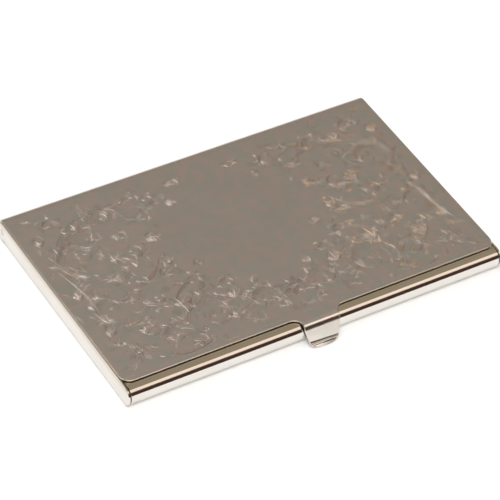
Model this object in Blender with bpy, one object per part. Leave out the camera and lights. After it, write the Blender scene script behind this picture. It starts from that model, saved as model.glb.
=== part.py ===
"""A slim metal business card case: a folded sheet tray, a lid rolled round its hinge, two pins and a leaf spring.

The case lies flat: X runs along its long edge, -Y is the front with the thumb tab, +Z is up and z = 0 is what it
rests on. Each sheet piece is drawn as its flat blank, cut along its bend lines, folded along a path of bends and
straights, and given the sheet's thickness.
"""

import math

import bmesh
import bpy
from mathutils import Matrix, Vector

MM = 0.001

# The case, outside to outside. The thumb tab reaches further forward than CASE_DEPTH.
CASE_WIDTH = 94.0 * MM
CASE_DEPTH = 59.4 * MM
CASE_HEIGHT = 5.6 * MM
TRAY_SHEET = 0.40 * MM
LID_SHEET = 0.42 * MM
RUNNING_GAP = 0.20 * MM
SEAT_GAP = 0.05 * MM

# The tray's front channel: a round nose, a short upright, a second round bend, and a flat rail over the cards.
NOSE_RADIUS = 2.5 * MM
RAIL_BEND_RADIUS = 2.4 * MM
RAIL_TOP = CASE_HEIGHT - LID_SHEET - RUNNING_GAP
RAIL_DEPTH = 5.0 * MM
THUMB_CUT_HALF = 9.0 * MM
THUMB_CUT_DEPTH = 1.8 * MM

# The tray's side walls, folded up from the floor.
SIDE_BEND_RADIUS = 0.65 * MM
FLOOR_HALF = CASE_WIDTH / 2 - SIDE_BEND_RADIUS

# The hinge. The lid's spine is a roll about the hinge axis, as deep as the case is high.
SPINE_RADIUS = CASE_HEIGHT / 2
WALL_END_RADIUS = SPINE_RADIUS - LID_SHEET - RUNNING_GAP
SPINE_TURN = 203.0
FULL_WIDTH_TURN = 95.0
WALL_SHOULDER_ANGLE = -117.0
FLOOR_TO_AXIS = 1.8 * MM
LID_HALF = CASE_WIDTH / 2 - 0.1 * MM
SPINE_HALF = CASE_WIDTH / 2 - TRAY_SHEET - RUNNING_GAP
EAR_RADIUS = SPINE_RADIUS - 0.3 * MM
EAR_FACE = SPINE_HALF - 0.1 * MM
HOLE_RADIUS = 0.62 * MM
PIN_RADIUS = 0.55 * MM
PIN_HEAD_RADIUS = 1.2 * MM
PIN_HEAD_THICK = 0.5 * MM
PIN_HEAD_GAP = 0.1 * MM
FLUSH = 0.03 * MM

# The lid's front edge, its tongue over the rail and the thumb tab.
LID_SETBACK = 2.57 * MM
LID_CORNER_RADIUS = 2.6 * MM
TONGUE_HALF = 4.45 * MM
TONGUE_FILLET = 2.2 * MM
TONGUE_STANDOFF = 0.46 * MM
TONGUE_BEND_RADIUS = 1.6 * MM
TONGUE_BEND = 47.0
BROW_RADIUS = 2.75 * MM
DROP_LEAN = 22.0
DROP_LENGTH = 2.90 * MM
CREASE_RADIUS = 1.5 * MM
LIP_SLOPE = 40.0
LIP_LENGTH = 0.45 * MM
LIP_END_RADIUS = 1.0 * MM
LIP_END_TURN = 35.0
LIP_HALF = 3.7 * MM

# The leaf spring that drags on the spine, and the rivets that hold it to the floor.
SPRING_SHEET = 0.25 * MM
SPRING_HALF = 30.0 * MM
SPRING_TO_AXIS = 9.7 * MM
SPRING_FLAT = 5.6 * MM
SPRING_BEND_RADIUS = 0.8 * MM
SPRING_RISE = 62.0
SPRING_LIP = 1.1 * MM
SPRING_CORNER_RADIUS = 1.2 * MM
RIVET_X = 22.0 * MM
RIVET_FROM_SPRING_FRONT = 2.0 * MM
RIVET_RADIUS = 0.6 * MM
RIVET_HOLE_RADIUS = 0.7 * MM
RIVET_HEAD_RADIUS = 1.3 * MM
RIVET_HEAD_THICK = 0.18 * MM

FACETS_PER_TURN = 60
BEND_STEP = 10.0


class FoldPath:
    """A path of bends and straights in the YZ plane, as the outer face of a folded sheet follows it."""

    def __init__(self, start, heading):
        self.legs = []
        self.length = 0.0
        self.start = Vector(start)
        self.end = self.start.copy()
        self.heading = math.radians(heading)

    def straight(self, length):
        self.legs.append((self.length, length, self.end.copy(), self.heading, 0.0))
        self.end += length * Vector((math.cos(self.heading), math.sin(self.heading)))
        self.length += length
        return self

    def bend(self, radius, turn):
        """Turns by this many degrees: positive is anticlockwise, seen with +Y right and +Z up."""
        turn = math.radians(turn)
        length = radius * abs(turn)
        self.legs.append((self.length, length, self.end.copy(), self.heading, turn / length))
        self.length += length
        self.end = self.at(self.length)
        self.heading += turn
        return self

    def at(self, distance):
        """The point (y, z) this far along the path."""
        for start, length, point, heading, curve in reversed(self.legs):
            if distance >= start:
                break
        run = distance - start
        if curve == 0.0:
            return point + run * Vector((math.cos(heading), math.sin(heading)))
        turned = heading + curve * run
        across = Vector((math.sin(turned) - math.sin(heading), math.cos(heading) - math.cos(turned)))
        return point + across / curve

    def bend_lines(self):
        """Distances along the path where the flat blank needs a line, so that each bend is round."""
        lines = []
        for start, length, _, _, curve in self.legs:
            steps = max(1, math.ceil(abs(math.degrees(curve * length)) / BEND_STEP - 1e-6))
            lines += [start + length * i / steps for i in range(steps)]
        return lines


def arc(centre, radius, first, last):
    """Points on an arc, from one angle to another in degrees, both ends included."""
    steps = max(2, math.ceil(abs(last - first) / 360 * FACETS_PER_TURN))
    angles = [math.radians(first + (last - first) * i / steps) for i in range(steps + 1)]
    return [(centre[0] + radius * math.cos(a), centre[1] + radius * math.sin(a)) for a in angles]


def tongue_path(front_y):
    """The tongue's outer face: over the rail, down in front of the nose and out as a thumb tab with a rounded lip.

    It starts where the lid's flat ends, and comes down to TONGUE_STANDOFF in front of the nose.
    """
    brow = 90.0 - DROP_LEAN - TONGUE_BEND
    path = FoldPath((0.0, CASE_HEIGHT), 180.0).bend(TONGUE_BEND_RADIUS, TONGUE_BEND).bend(BROW_RADIUS, brow)
    start_y = front_y - TONGUE_STANDOFF - path.end.x
    path = FoldPath((start_y, CASE_HEIGHT), 180.0).bend(TONGUE_BEND_RADIUS, TONGUE_BEND).bend(BROW_RADIUS, brow)
    path.straight(DROP_LENGTH).bend(CREASE_RADIUS, LIP_SLOPE + DROP_LEAN - 90.0)
    return path.straight(LIP_LENGTH).bend(LIP_END_RADIUS, LIP_END_TURN)


# The origin is under the middle of the whole object, thumb tab included.
TAB_REACH = -tongue_path(0.0).end.x
FRONT_Y = (TAB_REACH - CASE_DEPTH) / 2
REAR_Y = FRONT_Y + CASE_DEPTH
HINGE_Y = REAR_Y - SPINE_RADIUS
HINGE_Z = SPINE_RADIUS
HINGE = Vector((0.0, HINGE_Y, HINGE_Z))
RIVET_Y = HINGE_Y - SPRING_TO_AXIS + RIVET_FROM_SPRING_FRONT


def clear_scene():
    for old in list(bpy.data.objects):
        bpy.data.objects.remove(old)


def metal(name, colour, roughness):
    material = bpy.data.materials.new(name)
    material.use_nodes = True
    shader = material.node_tree.nodes["Principled BSDF"]
    shader.inputs["Base Color"].default_value = (*colour, 1.0)
    shader.inputs["Metallic"].default_value = 1.0
    shader.inputs["Roughness"].default_value = roughness
    return material


def add_object(name, shape, material, origin=Vector()):
    """Makes an object of this bmesh, whose points are world points, with its origin at the given place."""
    bmesh.ops.translate(shape, verts=shape.verts, vec=-origin)
    mesh = bpy.data.meshes.new(name)
    shape.to_mesh(mesh)
    shape.free()
    if material:
        mesh.materials.append(material)
    obj = bpy.data.objects.new(name, mesh)
    obj.location = origin
    bpy.context.collection.objects.link(obj)
    return obj


def blank(half_outline):
    """A flat sheet from the right half of its outline, which starts and ends on the centre line."""
    sheet = bmesh.new()
    left = [(-x, y) for x, y in reversed(half_outline) if x > 0.0]
    verts = [sheet.verts.new((x, y, 0.0)) for x, y in half_outline + left]
    face = sheet.faces.new(verts)
    if face.normal.z > 0.0:
        face.normal_flip()
    return sheet


def score(sheet, axis, places):
    """Cuts the blank along straight lines across this axis, without parting it."""
    normal = Vector((0.0, 0.0, 0.0))
    normal[axis] = 1.0
    for place in places:
        geometry = sheet.verts[:] + sheet.edges[:] + sheet.faces[:]
        bmesh.ops.bisect_plane(sheet, geom=geometry, plane_co=normal * place, plane_no=normal, dist=1e-7)


def thicken(obj, thickness):
    """Gives the folded sheet its thickness, inwards from its outer face."""
    solidify = obj.modifiers.new("sheet", "SOLIDIFY")
    solidify.thickness = thickness
    solidify.offset = -1.0
    solidify.use_even_offset = True
    solidify.use_quality_normals = True


def cylinder(radius, low, high, place, along_x):
    """A closed cylinder from low to high on its axis, which is parallel to X or to Z."""
    shape = bmesh.new()
    bmesh.ops.create_cone(
        shape, cap_ends=True, segments=FACETS_PER_TURN // 2, radius1=radius, radius2=radius, depth=high - low
    )
    axis = Vector((1.0, 0.0, 0.0)) if along_x else Vector((0.0, 0.0, 1.0))
    if along_x:
        bmesh.ops.rotate(shape, verts=shape.verts, cent=(0, 0, 0), matrix=Matrix.Rotation(math.pi / 2, 3, "Y"))
    bmesh.ops.translate(shape, verts=shape.verts, vec=Vector(place) + axis * (low + high) / 2)
    bmesh.ops.recalc_face_normals(shape, faces=shape.faces)
    return shape


def boolean(obj, operation, shape, name):
    """Cuts a helper shape from the object, or joins it on. The helper itself is no part of the case."""
    helper = add_object(name, shape, None)
    helper.hide_render = True
    helper.display_type = "WIRE"
    modifier = obj.modifiers.new(name, "BOOLEAN")
    modifier.operation = operation
    modifier.solver = "EXACT"
    modifier.object = helper


def wall_outline(channel):
    """The side wall's edge as (y, z), from the floor at the front, over the top and round the hinge to the floor."""
    front = [tuple(channel.at(line)) for line in channel.bend_lines()]
    end = arc((HINGE_Y, HINGE_Z), WALL_END_RADIUS, 90.0, WALL_SHOULDER_ANGLE)
    stop_y = HINGE_Y - HINGE_Z / math.tan(math.radians(WALL_SHOULDER_ANGLE))
    return front + end + [(stop_y, 0.0)]


def unfolded_height(z):
    """How far from the floor's edge a point of the side wall at this height lies in the flat blank."""
    if z < SIDE_BEND_RADIUS:
        return SIDE_BEND_RADIUS * math.acos(1.0 - z / SIDE_BEND_RADIUS)
    return SIDE_BEND_RADIUS * (math.pi / 2 - 1.0) + z


def front_path():
    """The front channel's outer face, from the floor up over the nose and back along the rail."""
    upright = RAIL_TOP - NOSE_RADIUS - RAIL_BEND_RADIUS
    path = FoldPath((FRONT_Y + NOSE_RADIUS, 0.0), 180.0).bend(NOSE_RADIUS, -90.0).straight(upright)
    path.bend(RAIL_BEND_RADIUS, -90.0)
    return path.straight(FRONT_Y + RAIL_DEPTH - path.end.x)


def tray_blank(channel):
    """The tray's flat blank: floor, two side walls, and the front channel with its thumb cut."""
    rear = HINGE_Y - FLOOR_TO_AXIS
    front = FRONT_Y + NOSE_RADIUS
    rail_edge = front - channel.length
    walls = [(FLOOR_HALF + unfolded_height(z), y) for y, z in reversed(wall_outline(channel))]
    thumb_radius = (THUMB_CUT_HALF**2 + THUMB_CUT_DEPTH**2) / (2 * THUMB_CUT_DEPTH)
    half_angle = math.degrees(math.asin(THUMB_CUT_HALF / thumb_radius))
    centre = (0.0, rail_edge + THUMB_CUT_DEPTH - thumb_radius)
    thumb = arc(centre, thumb_radius, 90.0 - half_angle, 90.0)
    thumb[-1] = (0.0, thumb[-1][1])
    rail = [(FLOOR_HALF, rail_edge)] + thumb
    return blank([(0.0, rear), (FLOOR_HALF, rear)] + walls + rail)


def fold_tray(sheet, channel):
    front = FRONT_Y + NOSE_RADIUS
    quarter = SIDE_BEND_RADIUS * math.pi / 2
    for vert in sheet.verts:
        x, y, _ = vert.co
        outward = abs(x) - FLOOR_HALF
        if outward > 1e-7:
            angle = min(outward, quarter) / SIDE_BEND_RADIUS
            side_x = FLOOR_HALF + SIDE_BEND_RADIUS * math.sin(angle)
            height = SIDE_BEND_RADIUS * (1.0 - math.cos(angle)) + max(0.0, outward - quarter)
            vert.co = (math.copysign(side_x, x), y, height)
        elif y < front - 1e-7:
            vert.co = (x, *channel.at(front - y))


def make_tray(material):
    """The tray: one folded sheet, with holes for the hinge pins and the spring's rivets."""
    channel = front_path()
    sheet = tray_blank(channel)
    quarter = SIDE_BEND_RADIUS * math.pi / 2
    steps = math.ceil(90.0 / BEND_STEP)
    side_lines = [FLOOR_HALF + quarter * i / steps for i in range(steps + 1)]
    score(sheet, 0, side_lines + [-line for line in side_lines])
    score(sheet, 1, [FRONT_Y + NOSE_RADIUS - line for line in channel.bend_lines()])
    fold_tray(sheet, channel)
    tray = add_object("tray_shell", sheet, material)
    thicken(tray, TRAY_SHEET)
    reach = CASE_WIDTH / 2 + MM
    pins = cylinder(HOLE_RADIUS, -reach, reach, HINGE, True)
    boolean(tray, "DIFFERENCE", pins, "cutter_tray_pin_holes")
    for side, label in ((-1, "left"), (1, "right")):
        hole = cylinder(RIVET_HOLE_RADIUS, -MM, 2 * TRAY_SHEET, (side * RIVET_X, RIVET_Y, 0.0), False)
        boolean(tray, "DIFFERENCE", hole, f"cutter_tray_rivet_hole_{label}")
    return tray


def tongue_outline(tongue):
    """The tongue and thumb tab in the flat blank, from the lid's front edge to the tip of the lip."""
    edge_y = FRONT_Y + LID_SETBACK
    fillet = arc((TONGUE_HALF + TONGUE_FILLET, edge_y - TONGUE_FILLET), TONGUE_FILLET, 90.0, 180.0)
    starts = [tongue.start.x - leg[0] for leg in tongue.legs]
    drop_start, crease_start = starts[2], starts[3]
    lip_depth = tongue.start.x - tongue.length - crease_start
    steps = FACETS_PER_TURN // 4
    moon = []
    for i in range(steps + 1):
        angle = math.pi / 2 * i / steps
        moon.append((LIP_HALF * math.cos(angle), crease_start + lip_depth * math.sin(angle)))
    moon[-1] = (0.0, moon[-1][1])
    return fillet + [(TONGUE_HALF, drop_start)] + moon


def make_lid(material):
    """The lid: a flat plate, rolled about the hinge axis at the rear, with an ear at each end of the roll."""
    spine = FoldPath((HINGE_Y, CASE_HEIGHT), 0.0).bend(SPINE_RADIUS, -SPINE_TURN)
    tongue = tongue_path(FRONT_Y)
    tongue_start = tongue.start.x
    spine_end = HINGE_Y + spine.length
    wide_end = HINGE_Y + SPINE_RADIUS * math.radians(FULL_WIDTH_TURN)
    edge_y = FRONT_Y + LID_SETBACK
    corner = arc((LID_HALF - LID_CORNER_RADIUS, edge_y + LID_CORNER_RADIUS), LID_CORNER_RADIUS, 0.0, -90.0)
    rear = [(0.0, spine_end), (SPINE_HALF, spine_end), (SPINE_HALF, wide_end), (LID_HALF, wide_end)]
    sheet = blank(rear + corner + tongue_outline(tongue))
    score(sheet, 1, [HINGE_Y + line for line in spine.bend_lines()])
    score(sheet, 1, [tongue_start - line for line in tongue.bend_lines()])
    for face in sheet.faces:
        face.normal_flip()
    for vert in sheet.verts:
        x, y, _ = vert.co
        if y > HINGE_Y:
            vert.co = (x, *spine.at(y - HINGE_Y))
        elif y < tongue_start:
            vert.co = (x, *tongue.at(tongue_start - y))
        else:
            vert.co.z = CASE_HEIGHT
    lid = add_object("lid", sheet, material, HINGE)
    thicken(lid, LID_SHEET)
    for side, label in ((-1, "left"), (1, "right")):
        low, high = sorted((side * (EAR_FACE - LID_SHEET), side * EAR_FACE))
        boolean(lid, "UNION", cylinder(EAR_RADIUS, low, high, HINGE, True), f"join_ear_{label}")
    reach = CASE_WIDTH / 2 + MM
    boolean(lid, "DIFFERENCE", cylinder(HOLE_RADIUS, -reach, reach, HINGE, True), "cutter_ear_holes")
    return lid


def turned(profile, place, direction, name, material):
    """A turned piece from its profile of (radius, distance along the axis), which starts and ends on the axis."""
    shape = bmesh.new()
    axis = Vector(direction)
    across = Vector((0.0, 1.0, 0.0))
    verts = [shape.verts.new(Vector(place) + across * radius + axis * along) for radius, along in profile]
    edges = [shape.edges.new(pair) for pair in zip(verts, verts[1:])]
    bmesh.ops.spin(
        shape, geom=verts + edges, cent=place, axis=axis, angle=2 * math.pi, steps=FACETS_PER_TURN // 2, use_merge=True
    )
    bmesh.ops.remove_doubles(shape, verts=shape.verts, dist=1e-7)
    bmesh.ops.recalc_face_normals(shape, faces=shape.faces)
    return add_object(name, shape, material, Vector(place))


def make_hinge_pins(material):
    """A flush pin through each side wall and ear, spread to a head inside the ear."""
    outer = CASE_WIDTH / 2 - FLUSH
    head_start = EAR_FACE - LID_SHEET - PIN_HEAD_GAP
    head_end = head_start - PIN_HEAD_THICK
    profile = [
        (0.0, outer),
        (PIN_RADIUS, outer),
        (PIN_RADIUS, head_start),
        (PIN_HEAD_RADIUS, head_start),
        (PIN_HEAD_RADIUS, head_end + PIN_HEAD_THICK / 2),
        (PIN_HEAD_RADIUS * 0.7, head_end),
        (0.0, head_end),
    ]
    for side, label in ((-1, "left"), (1, "right")):
        turned(profile, HINGE, (side, 0.0, 0.0), f"hinge_pin_{label}", material)


def make_leaf_spring(material):
    """A strip riveted to the floor whose rear edge rises to drag on the lid's spine."""
    front = HINGE_Y - SPRING_TO_AXIS
    path = FoldPath((front, TRAY_SHEET + SEAT_GAP), 0.0)
    path.straight(SPRING_FLAT).bend(SPRING_BEND_RADIUS, SPRING_RISE).straight(SPRING_LIP)
    corner = arc(
        (SPRING_HALF - SPRING_CORNER_RADIUS, front + SPRING_CORNER_RADIUS), SPRING_CORNER_RADIUS, 0.0, -90.0
    )
    rear = front + path.length
    sheet = blank([(0.0, rear), (SPRING_HALF, rear)] + corner + [(0.0, front)])
    score(sheet, 1, [front + line for line in path.bend_lines()])
    for vert in sheet.verts:
        x, y, _ = vert.co
        vert.co = (x, *path.at(y - front))
    spring = add_object("leaf_spring", sheet, material)
    thicken(spring, SPRING_SHEET)
    for side, label in ((-1, "left"), (1, "right")):
        hole = cylinder(RIVET_HOLE_RADIUS, 0.0, 2 * MM, (side * RIVET_X, RIVET_Y, 0.0), False)
        boolean(spring, "DIFFERENCE", hole, f"cutter_spring_hole_{label}")
    return spring


def make_spring_rivets(material):
    """Two low rivets whose heads lie on the spring and whose tails end flush under the floor."""
    head_low = TRAY_SHEET + SPRING_SHEET + 2 * SEAT_GAP
    profile = [
        (0.0, FLUSH),
        (RIVET_RADIUS, FLUSH),
        (RIVET_RADIUS, head_low),
        (RIVET_HEAD_RADIUS, head_low),
        (RIVET_HEAD_RADIUS, head_low + RIVET_HEAD_THICK / 2),
        (RIVET_HEAD_RADIUS * 0.8, head_low + RIVET_HEAD_THICK),
        (0.0, head_low + RIVET_HEAD_THICK),
    ]
    for side, label in ((-1, "left"), (1, "right")):
        turned(profile, (side * RIVET_X, RIVET_Y, 0.0), (0.0, 0.0, 1.0), f"spring_rivet_{label}", material)


def main():
    clear_scene()
    make_tray(metal("nickel_tray", (0.78, 0.75, 0.71), 0.12))
    make_lid(metal("nickel_lid", (0.76, 0.72, 0.67), 0.14))
    make_hinge_pins(metal("nickel_pin", (0.72, 0.70, 0.67), 0.2))
    make_leaf_spring(metal("spring_steel", (0.55, 0.56, 0.58), 0.3))
    make_spring_rivets(metal("rivet_steel", (0.65, 0.65, 0.65), 0.25))


main()
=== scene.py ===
"""The looks of the card case: polished nickel sheet with an etched scroll ornament on the lid."""

import math

import bmesh
import bpy
from mathutils import Matrix, Vector
from mathutils.bvhtree import BVHTree


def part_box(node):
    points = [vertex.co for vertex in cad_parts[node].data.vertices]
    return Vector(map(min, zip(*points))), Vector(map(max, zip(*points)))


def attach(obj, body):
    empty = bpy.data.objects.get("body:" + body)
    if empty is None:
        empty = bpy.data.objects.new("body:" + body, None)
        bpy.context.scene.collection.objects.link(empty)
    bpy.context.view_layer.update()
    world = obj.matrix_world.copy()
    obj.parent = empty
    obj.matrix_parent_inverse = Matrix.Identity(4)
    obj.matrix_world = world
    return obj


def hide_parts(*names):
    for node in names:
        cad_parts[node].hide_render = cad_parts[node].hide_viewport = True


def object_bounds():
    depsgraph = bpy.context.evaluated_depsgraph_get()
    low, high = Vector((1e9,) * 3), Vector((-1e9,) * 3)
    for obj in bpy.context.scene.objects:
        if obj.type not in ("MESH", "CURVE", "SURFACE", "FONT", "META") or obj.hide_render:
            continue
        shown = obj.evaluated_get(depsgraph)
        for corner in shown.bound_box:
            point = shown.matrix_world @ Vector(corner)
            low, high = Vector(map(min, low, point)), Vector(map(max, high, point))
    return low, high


MM = 0.001

# The closed case without its thumb tab.
CASE_WIDTH = 94.0 * MM
CASE_DEPTH = 59.4 * MM

# The camera, as an azimuth and an elevation about the middle of the case. Lens and sensor are in millimetres.
CAMERA_AZIMUTH = math.radians(-35.16)
CAMERA_ELEVATION = math.radians(43.51)
CAMERA_ROLL = math.radians(6.07)
CAMERA_DISTANCE = 636.2 * MM
CAMERA_LENS = 208.1
CAMERA_SHIFT = (0.0023, 0.0036)
CLIP_START = 10.0 * MM
SENSOR_WIDTH = 36.0

# Bends finer than this are shaded round, and edges sharper than this are broken by the polishing wheel. Faces
# that turn less than FLAT_ANGLE are one face, and corners closer than WELD_GAP are one corner.
ROUND_ANGLE = math.radians(35)
FLAT_ANGLE = math.radians(0.6)
EDGE_SEGMENTS = 4
BROKEN_EDGE = 0.06 * MM
LID_EDGE = 0.16 * MM
LID_EDGE_PROFILE = 0.28
WELD_GAP = 0.02 * MM
FLAT_TOLERANCE = 0.02 * MM

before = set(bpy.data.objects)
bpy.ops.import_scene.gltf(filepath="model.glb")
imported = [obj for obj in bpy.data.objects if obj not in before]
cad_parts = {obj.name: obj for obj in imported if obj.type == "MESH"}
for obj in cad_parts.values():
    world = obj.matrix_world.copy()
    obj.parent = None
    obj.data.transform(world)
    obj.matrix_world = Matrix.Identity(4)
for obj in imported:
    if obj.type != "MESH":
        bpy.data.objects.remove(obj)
cad_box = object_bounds()


# ---------------------------------------------------------------- nodes


def new_material(name):
    material = bpy.data.materials.new(name)
    material.use_nodes = True
    tree = material.node_tree
    return material, tree, tree.nodes["Principled BSDF"]


def add_node(tree, kind, **settings):
    """Adds a node. Settings that name an input set its value, or link it if they hold a socket."""
    node = tree.nodes.new(kind)
    for key, value in settings.items():
        if hasattr(node, key):
            setattr(node, key, value)
            continue
        socket = node.inputs[key.replace("_", " ")]
        if isinstance(value, bpy.types.NodeSocket):
            tree.links.new(value, socket)
        else:
            socket.default_value = value
    return node


def ramp(tree, factor, *stops):
    """A colour ramp through stops of (place, colour)."""
    node = add_node(tree, "ShaderNodeValToRGB", Fac=factor)
    elements = node.color_ramp.elements
    while len(elements) < len(stops):
        elements.new(0.5)
    for element, (place, colour) in zip(elements, stops):
        element.position = place
        element.color = (*colour, 1.0) if isinstance(colour, tuple) else (colour, colour, colour, 1.0)
    return node.outputs["Color"]


def object_place(tree):
    return add_node(tree, "ShaderNodeTexCoord").outputs["Object"]


def noise(tree, scale, stretch=(1.0, 1.0, 1.0), detail=2.0, roughness=0.55, distortion=0.0):
    """Noise of this many features a metre, in object coordinates scaled apart along X, Y and Z."""
    vector = add_node(tree, "ShaderNodeMapping", Vector=object_place(tree), Scale=stretch).outputs["Vector"]
    return add_node(
        tree,
        "ShaderNodeTexNoise",
        Vector=vector,
        Scale=scale,
        Detail=detail,
        Roughness=roughness,
        Distortion=distortion,
    ).outputs["Fac"]


def math_node(tree, operation, first, second):
    node = add_node(tree, "ShaderNodeMath", operation=operation)
    for socket, value in zip(node.inputs, (first, second)):
        if isinstance(value, bpy.types.NodeSocket):
            tree.links.new(value, socket)
        else:
            socket.default_value = value
    return node.outputs[0]


# ---------------------------------------------------------------- finishes

# Features a metre of the polishing lines, the smudges and the two layers of the ornament's ground.
POLISHING_LINES = 1500.0
SMUDGES = 140.0
SWIRLS = 800.0
STIPPLE = 1300.0

# The polishing lines run along X: places are squeezed by these factors along X, Y and Z.
POLISHING_LAY = (1.0, 9.0, 9.0)
POLISHING_DEPTH = 0.02 * MM
SMUDGE_SHARE = 0.7
STIPPLE_SHARE = 0.4

# Where on the noise a finish's two tones, and its smoothest and roughest state, are reached.
TONE_STOPS = (0.32, 0.68)
WEAR_STOPS = (0.35, 0.72)

# Painted reflection tints, which multiply a finish's colour: a golden painted reflection towards the right end
# of the ornament's bright lines, and an olive-gold painted reflection towards the top of the front rail, with
# the rail's highlight band toned down. A stop is (share of the way, colour).
UNTINTED = (1.0, 1.0, 1.0)
SIDE_PAINTED_REFLECTION = ((0.45, UNTINTED), (0.8, (0.98, 0.74, 0.46)))
RAIL_PAINTED_REFLECTION = ((0.7, UNTINTED), (0.86, (0.88, 0.815, 0.815)), (1.0, (0.84, 0.79, 0.62)))

# The tooled ground round the plain oval of the lid. It fades in between two shares of the oval's size, and
# keeps clear of the lid's front edge.
GROUND_DEPTH = 0.12 * MM
GROUND_STRENGTH = 0.3
GROUND_MARGIN = 1.2 * MM
GROUND_FADE = (0.84, 1.12)


def nickel(name, bright, dull, smooth, rough, grain=0.02, tones=60.0):
    """Polished nickel: a little tone variation, fine polishing lines, and smudges that dull the gloss."""
    material, tree, shader = new_material(name)
    tone = noise(tree, tones, detail=3.0)
    smudge = noise(tree, SMUDGES, detail=5.0, roughness=0.62)
    lines = noise(tree, POLISHING_LINES, stretch=POLISHING_LAY)
    colour = ramp(tree, tone, *zip(TONE_STOPS, (dull, bright)))
    tree.links.new(colour, shader.inputs["Base Color"])
    smudged = math_node(tree, "MULTIPLY", smudge, SMUDGE_SHARE)
    lined = math_node(tree, "MULTIPLY", lines, 1.0 - SMUDGE_SHARE)
    roughness = ramp(tree, math_node(tree, "ADD", smudged, lined), *zip(WEAR_STOPS, (smooth, rough)))
    tree.links.new(roughness, shader.inputs["Roughness"])
    shader.inputs["Metallic"].default_value = 1.0
    bump = add_node(tree, "ShaderNodeBump", Height=lines, Strength=grain, Distance=POLISHING_DEPTH)
    tree.links.new(bump.outputs["Normal"], shader.inputs["Normal"])
    return material


def paint_reflection_tint(material, axis, low, high, stops):
    """Multiplies a finish's colour by a painted reflection tint, through stops on the way from low to high
    along an axis.
    """
    tree = material.node_tree
    shader = tree.nodes["Principled BSDF"]
    along = add_node(tree, "ShaderNodeSeparateXYZ", Vector=object_place(tree)).outputs[axis]
    share = math_node(tree, "DIVIDE", math_node(tree, "SUBTRACT", along, low), high - low)
    mixed = add_node(tree, "ShaderNodeMix", data_type="RGBA", blend_type="MULTIPLY")
    mixed.inputs["Factor"].default_value = 1.0
    tree.links.new(shader.inputs["Base Color"].links[0].from_socket, mixed.inputs[6])
    tree.links.new(ramp(tree, share, *stops), mixed.inputs[7])
    tree.links.new(mixed.outputs[2], shader.inputs["Base Color"])


def etch_ground(material, front, flat):
    """Lays the ornament's ground over a finish: fine swirling tooling, which fades out towards the oval."""
    tree = material.node_tree
    shader = tree.nodes["Principled BSDF"]
    middle, half_u, half_v = OVAL
    place = object_place(tree)
    centred = add_node(
        tree,
        "ShaderNodeMapping",
        vector_type="TEXTURE",
        Vector=place,
        Location=(0.0, front + middle * MM, 0.0),
        Scale=(half_u * MM, half_v * MM, 1.0),
    ).outputs["Vector"]
    reach = add_node(tree, "ShaderNodeVectorMath", operation="LENGTH", Vector=centred).outputs["Value"]
    inner, outer = GROUND_FADE
    outside_oval = ramp(tree, math_node(tree, "MULTIPLY", reach, 0.5), (inner / 2, 0.0), (outer / 2, 1.0))
    parts = add_node(tree, "ShaderNodeSeparateXYZ", Vector=place).outputs
    on_flat = math_node(tree, "GREATER_THAN", parts["Z"], flat - FLAT_TOLERANCE)
    behind_edge = math_node(tree, "GREATER_THAN", parts["Y"], front + GROUND_MARGIN)
    zone = math_node(tree, "MULTIPLY", outside_oval, math_node(tree, "MULTIPLY", on_flat, behind_edge))
    swirl = noise(tree, SWIRLS, roughness=0.5, distortion=1.6)
    stipple = math_node(tree, "MULTIPLY", noise(tree, STIPPLE), STIPPLE_SHARE)
    etched = math_node(tree, "MULTIPLY", math_node(tree, "ADD", swirl, stipple), zone)
    bump = add_node(tree, "ShaderNodeBump", Height=etched, Strength=GROUND_STRENGTH, Distance=GROUND_DEPTH)
    tree.links.new(shader.inputs["Normal"].links[0].from_socket, bump.inputs["Normal"])
    tree.links.new(bump.outputs["Normal"], shader.inputs["Normal"])


def distance(solid, place):
    return solid.find_nearest(place)[3]


def keep_to_solid(piece, node, reach):
    """Applies the broken edges, and lays corners thrown further off than `reach` back on the solid."""
    graph = bpy.context.evaluated_depsgraph_get()
    mesh = bpy.data.meshes.new_from_object(piece.evaluated_get(graph), depsgraph=graph)
    solid = BVHTree.FromObject(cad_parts[node], graph)
    near = {}
    for edge in mesh.edges:
        first, last = edge.vertices
        near.setdefault(first, []).append(last)
        near.setdefault(last, []).append(first)
    thrown = {vertex.index for vertex in mesh.vertices if distance(solid, vertex.co) > reach}
    while thrown:
        held = {index for index in thrown if any(other not in thrown for other in near[index])}
        if not held:
            break
        for index in sorted(held):
            places = [mesh.vertices[other].co for other in near[index] if other not in thrown]
            mesh.vertices[index].co = solid.find_nearest(sum(places, Vector()) / len(places))[0]
        thrown -= held
    piece.modifiers.clear()
    piece.data = mesh


def polished(node, body, material, name, broken=BROKEN_EDGE, profile=0.5):
    """A copy of a solid with smooth bends and softly broken edges, which stands in for the plain one."""
    shape = bmesh.new()
    shape.from_mesh(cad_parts[node].data)
    bmesh.ops.remove_doubles(shape, verts=shape.verts, dist=WELD_GAP)
    bmesh.ops.dissolve_limit(
        shape, angle_limit=FLAT_ANGLE, use_dissolve_boundaries=False, verts=shape.verts, edges=shape.edges
    )
    mesh = bpy.data.meshes.new(name)
    shape.to_mesh(mesh)
    shape.free()
    mesh.materials.clear()
    mesh.materials.append(material)
    piece = bpy.data.objects.new(name, mesh)
    bpy.context.scene.collection.objects.link(piece)
    mesh.shade_smooth()
    mesh.set_sharp_from_angle(angle=ROUND_ANGLE)
    edge = piece.modifiers.new("broken_edge", "BEVEL")
    edge.width = broken
    edge.segments = EDGE_SEGMENTS
    edge.profile = profile
    edge.use_clamp_overlap = False
    edge.limit_method = "ANGLE"
    edge.angle_limit = ROUND_ANGLE
    edge.harden_normals = True
    keep_to_solid(piece, node, broken)
    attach(piece, body)
    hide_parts(node)


# ---------------------------------------------------------------- etched ornament

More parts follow.
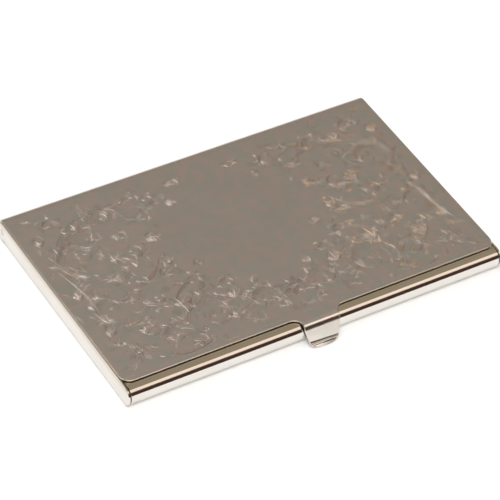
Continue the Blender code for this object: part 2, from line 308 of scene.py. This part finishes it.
# The ornament is laid out on the left half of the lid's flat and mirrored. Places are in millimetres: u from
# the left edge, v from the lid's front edge, and the half ends at u = LID_HALF_WIDTH. The lid's front edge lies
# LID_SETBACK behind the tray's nose.
LID_HALF_WIDTH = 46.9
LID_SETBACK = 2.57

# A stroke is a round line, flattened to its relief's share of its height and half sunk in the lid's face.
STROKE_HALF_WIDTH = 0.095
FINE_RELIEF = 0.42
BOLD_RELIEF = 0.75

# The plain oval in the middle of the lid: its middle's v, and its half axes along u and v.
OVAL = (30.5, 18.5, 21.0)

# Scrolls: (u, v, radius, starting angle, turns, leaves on the back). Positive turns are anticlockwise.
SCROLLS = (
    (27.0, 8.8, 6.4, 200, -1.15, 9),
    (39.2, 8.2, 4.6, 330, 0.95, 7),
    (17.4, 7.4, 3.8, 20, 1.0, 6),
    (8.4, 20.4, 4.9, 300, -1.1, 7),
    (18.6, 19.2, 4.0, 110, 0.9, 6),
    (9.6, 37.0, 6.0, 250, -1.1, 9),
    (20.6, 34.0, 4.2, 160, 0.95, 6),
    (19.8, 45.8, 3.9, 210, -0.9, 6),
    (31.2, 47.0, 2.8, 200, 0.9, 5),
    (8.2, 48.6, 2.8, 300, 0.9, 4),
    (27.8, 19.8, 3.2, 240, 0.85, 5),
    (14.4, 28.6, 3.0, 40, -0.9, 5),
    (34.8, 16.0, 2.3, 200, -0.85, 4),
    (25.4, 27.4, 2.2, 90, -0.8, 4),
)
# The lines of a scroll's band: (share of the radius they stand in by, where they start and end, width). A
# line has SCROLL_STEPS points a turn, and winds in to 1 - SCROLL_INWARD of its radius.
BAND = ((0.0, 0.0, 1.0, 1.3), (0.11, 0.03, 0.84, 0.75), (0.22, 0.1, 0.68, 0.75), (0.33, 0.0, 0.5, 0.65))
SCROLL_STEPS = 24
SCROLL_INWARD = 0.93
SCROLL_CLOSENESS = 0.8
# Rosettes: (u, v, radius, petals).
ROSETTES = (
    (7.4, 6.6, 3.2, 8),
    (33.2, 7.0, 2.3, 6),
    (46.9, 9.0, 2.9, 8),
    (13.6, 13.4, 1.9, 6),
    (6.0, 29.4, 1.9, 6),
    (15.0, 40.8, 1.7, 6),
    (26.0, 48.6, 1.5, 6),
)
# Sprays of leaves: (u, v, the way they point, spread, length, leaves).
SPRAYS = (
    (11.6, 10.4, 60, 130, 4.2, 8),
    (22.6, 14.0, 80, 120, 4.4, 8),
    (34.0, 11.4, 80, 120, 3.8, 7),
    (43.6, 4.0, 150, 110, 3.6, 6),
    (4.4, 13.0, 70, 80, 4.0, 6),
    (3.8, 25.6, 90, 90, 3.6, 6),
    (22.8, 24.2, 20, 110, 4.0, 7),
    (16.2, 32.0, 60, 130, 3.8, 7),
    (25.4, 36.4, 340, 110, 4.0, 7),
    (13.4, 44.6, 70, 120, 4.0, 7),
    (35.0, 44.4, 320, 90, 3.2, 6),
    (37.4, 49.4, 350, 70, 3.6, 5),
    (30.8, 24.0, 20, 90, 3.0, 5),
    (21.4, 3.4, 180, 90, 3.6, 6),
    (3.8, 43.6, 80, 80, 3.6, 5),
    (39.6, 13.8, 60, 100, 2.8, 5),
)
# Long sweeping stems: start, height of the bow to the left of the way, end.
STEMS = (
    ((4.0, 38.6), 6.4, (30.0, 45.2)),
    ((4.6, 37.4), 5.4, (27.4, 43.2)),
    ((3.4, 12.0), -2.0, (3.8, 33.0)),
    ((12.0, 24.0), -3.0, (25.0, 29.6)),
    ((21.0, 15.0), 2.4, (32.0, 20.0)),
    ((12.0, 3.0), -1.6, (24.0, 3.2)),
)
# The lines of a stem: (share of the bow, width).
STEM_LINES = ((1.0, 1.3), (0.86, 0.8), (0.72, 0.7))
STEM_STEPS = 24
# A leaf's line width, and its half width and where its veins start and end as shares of its length.
LEAF_WIDTH = 0.8
LEAF_FATNESS = 0.26
VEIN_START = 0.3
VEIN_END = 0.7
# Patches of hatching between the scrolls, over HATCHED_SIZE from HATCHED_MARGIN off the lid's edges. Each
# step adds these shares to the u, v, way, length and bow of the last.
HATCHED_MARGIN = 2.4
HATCHED_SIZE = (44.0, 49.0)
HATCHINGS = 240
HATCHING_LINES = 4
HATCHING_STEPS = (0.6180, 0.7549, 0.5698, 0.3247, 0.4656)
HATCHING_SPACING = 0.38
# The bright lines' width, and the radius and width of the bright eyes of scrolls.
ACCENT_WIDTH = 1.25
EYE_RADIUS = 0.36
EYE_WIDTH = 0.9
# A stroke's width at its ends, as a share of its full width, and how much of its length it thins out over.
STROKE_END = 0.35
STROKE_TAPER = 0.35
NO_TAPER = 0.01


class Ornament:
    """Strokes of one relief, which become one piece on the lid."""

    def __init__(self, name, relief):
        self.relief = relief
        self.curve = bpy.data.curves.new(name, "CURVE")
        self.curve.dimensions = "3D"
        self.curve.bevel_depth = STROKE_HALF_WIDTH * MM
        self.curve.bevel_resolution = 0
        self.curve.use_fill_caps = True

    def stroke(self, points, width, taper=STROKE_TAPER):
        """A stroke and its mirror image, thinning out over this share of its length at both ends."""
        last = len(points) - 1
        for side in (-1.0, 1.0):
            spline = self.curve.splines.new("POLY")
            spline.points.add(last)
            for i, (u, v) in enumerate(points):
                ends = min(i, last - i) / (last * taper)
                spline.points[i].co = (side * (LID_HALF_WIDTH - u) * MM, v * MM, 0.0, 1.0)
                spline.points[i].radius = width * (STROKE_END + (1.0 - STROKE_END) * min(1.0, ends))

    def piece(self, name, front, top, material):
        """Turns the strokes into one low relief that rides on the lid."""
        drawn = bpy.data.objects.new(name, self.curve)
        bpy.context.scene.collection.objects.link(drawn)
        graph = bpy.context.evaluated_depsgraph_get()
        shape = bmesh.new()
        shape.from_mesh(drawn.evaluated_get(graph).to_mesh())
        bpy.data.objects.remove(drawn)
        bmesh.ops.scale(shape, verts=shape.verts, vec=(1.0, 1.0, self.relief))
        bmesh.ops.translate(shape, verts=shape.verts, vec=(0.0, front, top))
        bmesh.ops.recalc_face_normals(shape, faces=shape.faces)
        mesh = bpy.data.meshes.new(name)
        shape.to_mesh(mesh)
        shape.free()
        mesh.shade_smooth()
        mesh.materials.append(material)
        piece = bpy.data.objects.new(name, mesh)
        bpy.context.scene.collection.objects.link(piece)
        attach(piece, "lid")


def polar(centre, radius, degrees):
    angle = math.radians(degrees)
    return (centre[0] + radius * math.cos(angle), centre[1] + radius * math.sin(angle))


def spiral(centre, radius, start, turns, inset, first, last):
    """One line of a scroll's band, winding in from its mouth to its eye between two shares of the way."""
    steps = max(8, round(abs(turns) * (last - first) * SCROLL_STEPS))
    points = []
    for i in range(steps + 1):
        share = first + (last - first) * i / steps
        reach = radius * (1.0 - inset) * (1.0 - SCROLL_INWARD * share) ** SCROLL_CLOSENESS
        points.append(polar(centre, reach, start + 360.0 * turns * share))
    return points


def ring(centre, radius, steps=14):
    return [polar(centre, radius, 360.0 * i / steps) for i in range(steps + 1)]


def bowed(start, end, bow, steps=6):
    """A bow from start to end, standing off to the left of the way by `bow`."""
    (u0, v0), (u1, v1) = start, end
    length = math.hypot(u1 - u0, v1 - v0)
    side = ((v0 - v1) / length, (u1 - u0) / length)
    points = []
    for i in range(steps + 1):
        share = i / steps
        rise = bow * 4.0 * share * (1.0 - share)
        points.append((u0 + (u1 - u0) * share + side[0] * rise, v0 + (v1 - v0) * share + side[1] * rise))
    return points


def leaf(lines, root, degrees, length, curl):
    """A leaf: two edges that meet at the tip, a midrib and a vein on either side of it."""
    tip = polar(root, length, degrees)
    fat = LEAF_FATNESS * length
    for side in (-1.0, 1.0):
        foot = polar(root, 0.08 * length, degrees + side * 90.0)
        lines.stroke(bowed(foot, tip, curl + side * fat), LEAF_WIDTH)
        start = polar(root, VEIN_START * length, degrees + side * 22.0)
        vein = polar(root, VEIN_END * length, degrees + side * 11.0)
        lines.stroke(bowed(start, vein, curl * 0.4 + side * 0.2 * fat, 4), LEAF_WIDTH * 0.7)
    start = polar(root, 0.15 * length, degrees)
    lines.stroke(bowed(start, polar(root, 0.8 * length, degrees), curl * 0.6, 4), LEAF_WIDTH * 0.8)


def scroll(lines, accent, u, v, radius, start, turns, leaves):
    """A banded C-scroll with a bright eye, and leaves along its back."""
    centre = (u, v)
    for inset, first, last, width in BAND:
        lines.stroke(spiral(centre, radius, start, turns, inset, first, last), width)
    accent.stroke(ring(centre, EYE_RADIUS, 6), EYE_WIDTH, NO_TAPER)
    way = math.copysign(1.0, turns)
    for i in range(leaves):
        turned = start + way * (6.0 + 230.0 * i / leaves)
        root = polar(centre, radius * (0.98 - 0.05 * i), turned)
        size = radius * (0.56 - 0.025 * i)
        leaf(lines, root, turned + way * 52.0, size, way * 0.16 * size)
        if i % 2 == 0:
            tip = polar(root, size * 0.8, turned + way * 44.0)
            accent.stroke(bowed(root, tip, way * 0.2, 4), ACCENT_WIDTH)


def rosette(lines, accent, u, v, radius, petals):
    """A ring with a bright eye, and veined petals round it."""
    centre = (u, v)
    lines.stroke(ring(centre, radius * 0.3), EYE_WIDTH, NO_TAPER)
    accent.stroke(ring(centre, radius * 0.12, 6), EYE_WIDTH, NO_TAPER)
    for i in range(petals):
        turned = 360.0 * (i + 0.5) / petals
        root = polar(centre, radius * 0.36, turned)
        tip = polar(centre, radius, turned)
        belly = 1.15 * radius / petals
        for bow in (belly, -belly, 0.15 * belly):
            lines.stroke(bowed(root, tip, bow), 0.8)


def spray(lines, accent, u, v, degrees, spread, length, leaves):
    """Leaves that fan out from one root, with a bright line in every other one."""
    for i in range(leaves):
        share = i / (leaves - 1) - 0.5
        size = length * (1.0 - 0.9 * abs(share))
        way = degrees + spread * share
        leaf(lines, (u, v), way, size, -share * 0.9)
        if i % 2 == 1:
            start, end = (polar((u, v), far * size, way) for far in (0.3, 0.9))
            accent.stroke(bowed(start, end, -share * 0.5, 4), ACCENT_WIDTH)


def hatching(lines, accent, number):
    """A patch of short parallel bows, if its place is outside the plain oval."""
    east, north, way, size, bow = (number * step % 1.0 for step in HATCHING_STEPS)
    u = HATCHED_MARGIN + HATCHED_SIZE[0] * east
    v = HATCHED_MARGIN + HATCHED_SIZE[1] * north
    middle, half_u, half_v = OVAL
    if math.hypot((LID_HALF_WIDTH - u) / half_u, (v - middle) / half_v) < 1.0:
        return
    degrees = 360.0 * way
    for i in range(HATCHING_LINES):
        root = polar((u, v), HATCHING_SPACING * i, degrees + 90.0)
        length = (1.1 + 1.7 * size) * (1.0 - 0.12 * i)
        points = bowed(root, polar(root, length, degrees + 6.0 * i), 0.25 + 0.45 * bow, 5)
        lines.stroke(points, 0.75)
        if i == 1 and number % 3 == 0:
            accent.stroke(points, ACCENT_WIDTH)


def lid_front():
    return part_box("tray_shell")[0].y + LID_SETBACK * MM


def etch_lid(material, bright):
    fine = Ornament("lid_etching_fine", FINE_RELIEF)
    bold = Ornament("lid_etching_bold", BOLD_RELIEF)
    for each in SCROLLS:
        scroll(fine, bold, *each)
    for each in ROSETTES:
        rosette(fine, bold, *each)
    for each in SPRAYS:
        spray(fine, bold, *each)
    for number in range(HATCHINGS):
        hatching(fine, bold, number)
    for start, bow, end in STEMS:
        for share, width in STEM_LINES:
            fine.stroke(bowed(start, end, bow * share, STEM_STEPS), width)
    front = lid_front()
    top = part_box("lid")[1].z
    fine.piece("lid_etching_fine", front, top, material)
    bold.piece("lid_etching_bold", front, top, bright)


# ---------------------------------------------------------------- stage

FLOOR_HALF = 1.5
FLOOR_DROP = 0.02 * MM
FLOOR_WHITE = (0.86, 0.86, 0.86, 1.0)
FLOOR_GLOW = 0.08

# The room's colours, from the horizon (0) to straight up (1), and its dark side: a colour, a direction, and
# the angles from it where the dark ends and where it is full.
ROOM = ((0.0, (0.42, 0.35, 0.30)), (0.5, (0.30, 0.26, 0.225)), (0.9, (0.40, 0.36, 0.32)))
DARK_ROOM = (0.065, 0.042, 0.033, 1.0)
DARK_SIDE = (0.42, -0.878, 0.226)
DARK_SIDE_ANGLES = (29.5, 26.0)

# Soft boxes that face down: (name, place, size, colour, brightness).
SOFT_BOXES = (
    ("overhead_soft_box", (0.2, -0.9165, 1.0), (2.0, 0.877), (1.0, 0.9, 0.79), 1.05),
    ("rear_left_soft_box", (-0.15, 0.45, 1.0), (0.5, 0.6), (1.0, 0.97, 0.94), 3.4),
)
# A soft box that faces the case, and that polished faces do not mirror.
FILL = ("fill", (-0.42, -0.6, 1.3), (0.8, 0.8), (0.93, 0.98, 1.0), 8.0)


def make_floor():
    shape = bmesh.new()
    bmesh.ops.create_grid(shape, x_segments=1, y_segments=1, size=FLOOR_HALF)
    mesh = bpy.data.meshes.new("floor")
    shape.to_mesh(mesh)
    shape.free()
    material, _, shader = new_material("white_table")
    shader.inputs["Base Color"].default_value = FLOOR_WHITE
    shader.inputs["Roughness"].default_value = 0.9
    shader.inputs["Specular IOR Level"].default_value = 0.0
    shader.inputs["Emission Color"].default_value = (1.0, 1.0, 1.0, 1.0)
    shader.inputs["Emission Strength"].default_value = FLOOR_GLOW
    mesh.materials.append(material)
    floor = bpy.data.objects.new("floor", mesh)
    floor.location.z = -FLOOR_DROP
    bpy.context.scene.collection.objects.link(floor)


def make_world():
    """A soft studio: a grey-brown room with a darker side towards the front right."""
    world = bpy.data.worlds.new("studio")
    world.use_nodes = True
    bpy.context.scene.world = world
    tree = world.node_tree
    direction = add_node(tree, "ShaderNodeTexCoord").outputs["Generated"]
    height = add_node(tree, "ShaderNodeSeparateXYZ", Vector=direction).outputs["Z"]
    room = ramp(tree, height, *ROOM)
    dot = add_node(tree, "ShaderNodeVectorMath", operation="DOT_PRODUCT")
    tree.links.new(direction, dot.inputs[0])
    dot.inputs[1].default_value = Vector(DARK_SIDE).normalized()
    edge, core = (math.cos(math.radians(angle)) for angle in DARK_SIDE_ANGLES)
    share = ramp(tree, dot.outputs["Value"], (edge, 0.0), (core, 1.0))
    mixed = add_node(tree, "ShaderNodeMix", data_type="RGBA")
    tree.links.new(share, mixed.inputs["Factor"])
    tree.links.new(room, mixed.inputs[6])
    mixed.inputs[7].default_value = DARK_ROOM
    tree.links.new(mixed.outputs[2], tree.nodes["Background"].inputs["Color"])


def make_light(name, place, size, colour, brightness):
    """A soft box facing down. At a brightness of 1 its face shows as white."""
    data = bpy.data.lights.new(name, "AREA")
    data.shape = "RECTANGLE"
    data.size, data.size_y = size
    data.color = colour
    data.energy = brightness * math.pi * size[0] * size[1]
    light = bpy.data.objects.new(name, data)
    light.location = place
    bpy.context.scene.collection.objects.link(light)
    return light


def make_camera():
    rear = cad_box[1][1]
    middle = Vector((0.0, rear - CASE_DEPTH / 2, 0.0))
    flat = math.cos(CAMERA_ELEVATION)
    back = Vector(
        (math.sin(CAMERA_AZIMUTH) * flat, -math.cos(CAMERA_AZIMUTH) * flat, math.sin(CAMERA_ELEVATION))
    )
    data = bpy.data.cameras.new("camera")
    data.sensor_width = SENSOR_WIDTH
    data.lens = CAMERA_LENS
    data.shift_x, data.shift_y = CAMERA_SHIFT
    data.clip_start = CLIP_START
    camera = bpy.data.objects.new("camera", data)
    turn = back.to_track_quat("Z", "Y").to_matrix().to_4x4()
    camera.matrix_world = Matrix.Translation(middle + back * CAMERA_DISTANCE) @ turn @ Matrix.Rotation(
        CAMERA_ROLL, 4, "Z"
    )
    bpy.context.scene.collection.objects.link(camera)
    bpy.context.scene.camera = camera


bpy.context.scene.view_settings.view_transform = "Standard"
tray_nickel = nickel("tray_nickel", (0.775, 0.75, 0.72), (0.735, 0.705, 0.665), 0.05, 0.14)
# Painted reflection on the tray: its colour is toned down at the height of the rail's highlight and tinted
# olive-gold at the top of the rail.
paint_reflection_tint(tray_nickel, "Z", 0.0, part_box("tray_shell")[1].z, RAIL_PAINTED_REFLECTION)
lid_nickel = nickel("lid_nickel", (0.785, 0.685, 0.63), (0.68, 0.695, 0.645), 0.13, 0.24, tones=330.0)
etch_ground(lid_nickel, lid_front(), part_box("lid")[1].z)
etched_nickel = nickel("etched_nickel", (0.78, 0.72, 0.67), (0.68, 0.61, 0.57), 0.12, 0.22)
# The bright lines' near-white colour is a painted glint, which brightens the real glints under the rear left
# soft box.
glint_nickel = nickel("glint_nickel", (0.92, 0.90, 0.87), (0.84, 0.80, 0.74), 0.06, 0.14)
# Painted golden reflection on the bright lines, growing towards the right end of the lid.
paint_reflection_tint(glint_nickel, "X", -CASE_WIDTH / 2, CASE_WIDTH / 2, SIDE_PAINTED_REFLECTION)
pin_nickel = nickel("pin_nickel", (0.74, 0.72, 0.69), (0.66, 0.64, 0.61), 0.16, 0.3, grain=0.1)
spring_steel = nickel("spring_steel", (0.56, 0.57, 0.59), (0.48, 0.49, 0.51), 0.22, 0.4, grain=0.15)
rivet_steel = nickel("rivet_steel", (0.66, 0.66, 0.65), (0.58, 0.58, 0.57), 0.18, 0.32, grain=0.1)

polished("tray_shell", "tray", tray_nickel, "tray_polished")
polished("lid", "lid", lid_nickel, "lid_polished", LID_EDGE, LID_EDGE_PROFILE)
polished("leaf_spring", "tray", spring_steel, "leaf_spring_polished")
for side in ("left", "right"):
    polished(f"hinge_pin_{side}", "tray", pin_nickel, f"hinge_pin_{side}_polished")
    polished(f"spring_rivet_{side}", "tray", rivet_steel, f"spring_rivet_{side}_polished")

etch_lid(etched_nickel, glint_nickel)

make_floor()
make_world()
for soft_box in SOFT_BOXES:
    make_light(*soft_box)
fill = make_light(*FILL)
fill.rotation_euler = fill.location.to_track_quat("Z", "Y").to_euler()
fill.visible_glossy = False
make_camera()
